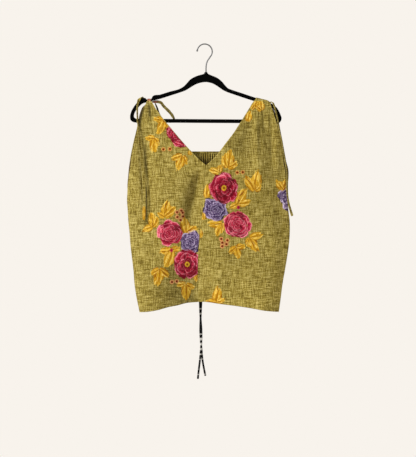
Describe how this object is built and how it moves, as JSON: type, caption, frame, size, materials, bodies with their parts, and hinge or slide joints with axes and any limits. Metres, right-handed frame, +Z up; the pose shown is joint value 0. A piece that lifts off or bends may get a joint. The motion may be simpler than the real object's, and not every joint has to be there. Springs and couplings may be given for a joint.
{
  "type": "embroidered tank top on a hanger",
  "caption": "Wide V-neck tank top of slubby olive linen with embroidered flowers, tied shoulders and a gathered back neck, hung on a velvet hanger.",
  "frame": {"origin": "the inside top of the hanger's hook, where a rail holds it", "axes": "+Z up, +X to the right seen from the front, the front of the top faces -Y"},
  "size_m": [0.4885, 0.0893, 0.988],
  "materials": {
    "linen": "slubby olive linen weave",
    "tie_linen": "same linen, pressed into ribbon",
    "drawstring": "black braid with pale bands",
    "velvet": "black flock",
    "wire": "bright plated wire"
  },
  "bodies": {
    "root": {"front_left": "linen", "front_right": "linen", "back_panel": "linen", "back_neck_casing": "linen", "left_shoulder_strap": "linen", "left_tie_knot": "tie_linen", "left_tie_loop": "tie_linen", "left_tie_tail": "tie_linen", "right_tie_tail": "tie_linen", "drawstring_left": "drawstring", "drawstring_right": "drawstring", "hanger_frame": "velvet", "hanger_hook": "wire"}
  },
  "joints": []
}
